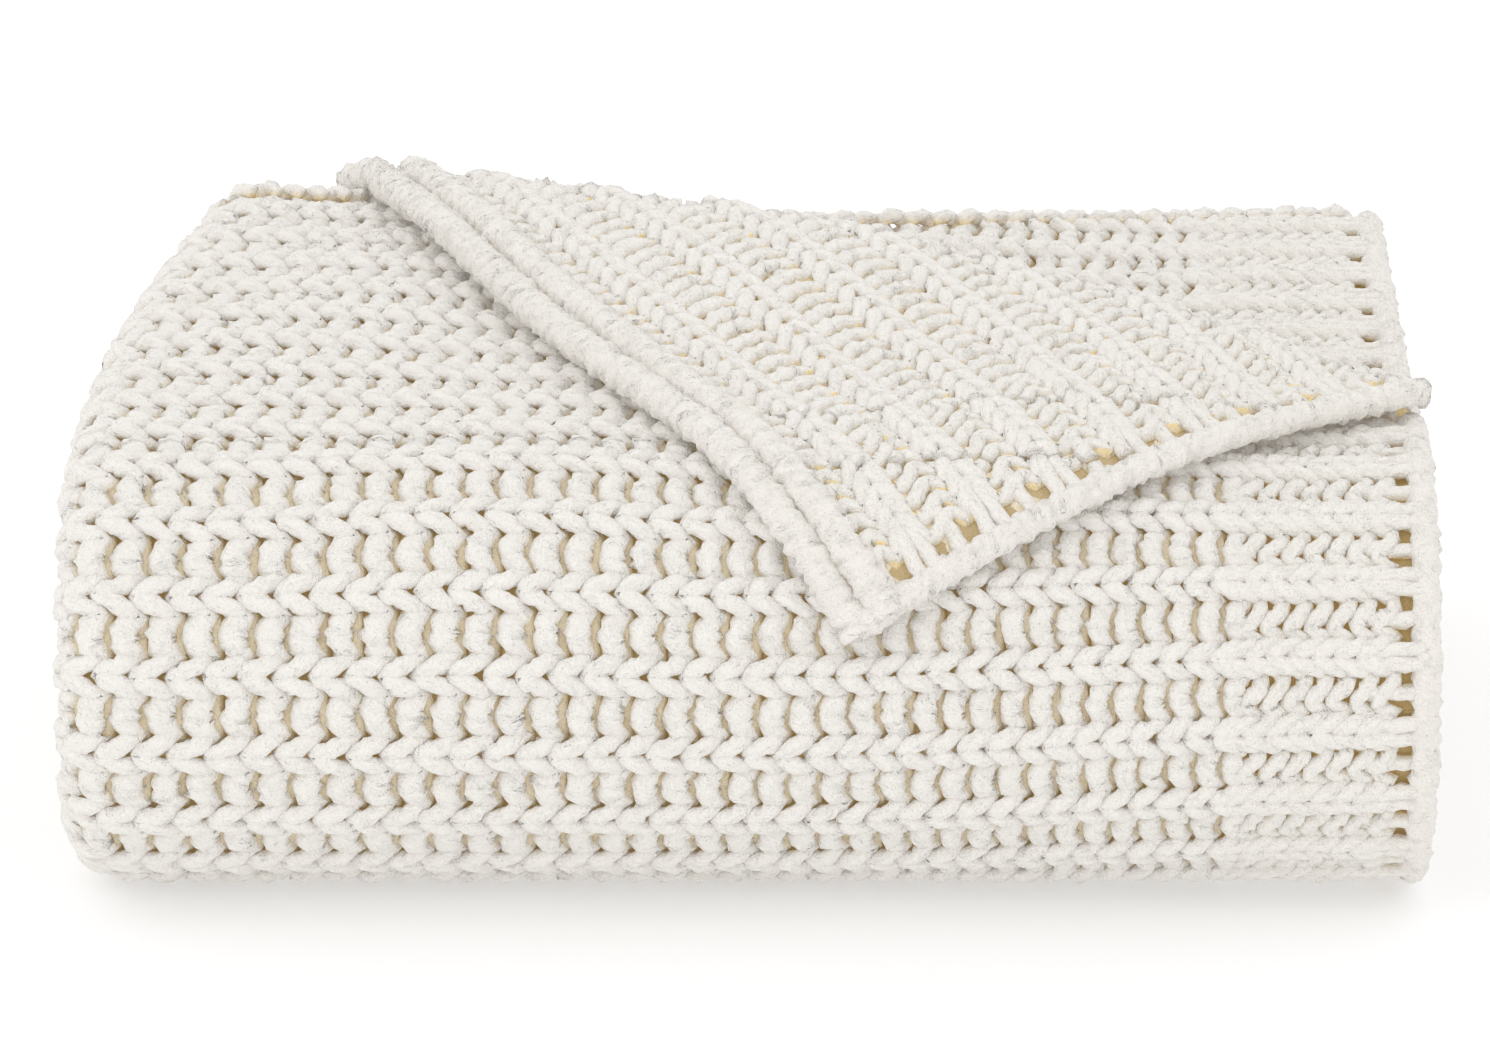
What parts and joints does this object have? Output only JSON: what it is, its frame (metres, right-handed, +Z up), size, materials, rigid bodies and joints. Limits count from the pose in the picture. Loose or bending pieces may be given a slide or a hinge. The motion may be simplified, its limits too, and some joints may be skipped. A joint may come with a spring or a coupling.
{
  "type": "folded throw blanket",
  "caption": "Chunky rib-knit throw folded into a thick pile, with the corner of its top leaf turned over and its tip hanging over the front fold.",
  "frame": {"origin": "centre of the folded pile's box, on the surface it rests on", "axes": "+X to the raw bound-off edge of the top leaf (right), +Y from the front fold to the back, +Z up"},
  "size_m": [0.4399, 0.3148, 0.1592],
  "materials": {
    "knit_field": "fuzzy ivory chenille yarn, rib knit",
    "knit_border": "fuzzy ivory chenille yarn, flat rib border with eyelets",
    "knit_inner": "fuzzy ivory chenille yarn, in shade",
    "knit_flap": "fuzzy ivory chenille yarn, reverse of the rib knit",
    "knit_selvedge": "smooth rolled chenille edge, warm ivory"
  },
  "bodies": {
    "lower_half": {"bottom_leaf": "knit_field", "bottom_border": "knit_border", "lower_outer_layers": "knit_inner", "back_fold_leaf": "knit_field", "back_fold_layers": "knit_inner", "lower_inner_layers": "knit_inner", "lower_inner_leaf": "knit_field"},
    "upper_half": {"top_leaf": "knit_field", "top_border": "knit_border", "second_leaf": "knit_field", "upper_outer_layers": "knit_inner", "upper_inner_layers": "knit_inner", "upper_inner_leaf": "knit_field"},
    "flap": {"corner_flap": "knit_flap", "flap_border": "knit_border", "flap_selvedge": "knit_selvedge"},
    "tip": {"flap_tip": "knit_flap"},
    "tip_end": {"flap_tip_end": "knit_flap"}
  },
  "joints": [
    {"name": "front_fold", "type": "hinge", "parent": "lower_half", "child": "upper_half", "pos_m": [0, -0.155, 0.075], "axis": [1, 0, 0], "range_deg": [0, 165]},
    {"name": "corner_fold", "type": "hinge", "parent": "upper_half", "child": "flap", "pos_m": [0.03463, 0.05421, 0.15], "axis": [-0.8698, 0.4934, 0], "range_deg": [0, 180]},
    {"name": "tip_drape", "type": "hinge", "parent": "flap", "child": "tip", "pos_m": [0.06, -0.09056, 0.15015], "axis": [-1, 0, 0], "range_deg": [0, 16]},
    {"name": "tip_curl", "type": "hinge", "parent": "tip", "child": "tip_end", "pos_m": [0.045, -0.12143, 0.1413], "axis": [-1, 0, 0], "range_deg": [0, 32]}
  ],
  "couplings": [
    {"joint": "tip_drape", "follows": "corner_fold", "ratio": 0.088889},
    {"joint": "tip_curl", "follows": "corner_fold", "ratio": 0.17778}
  ]
}
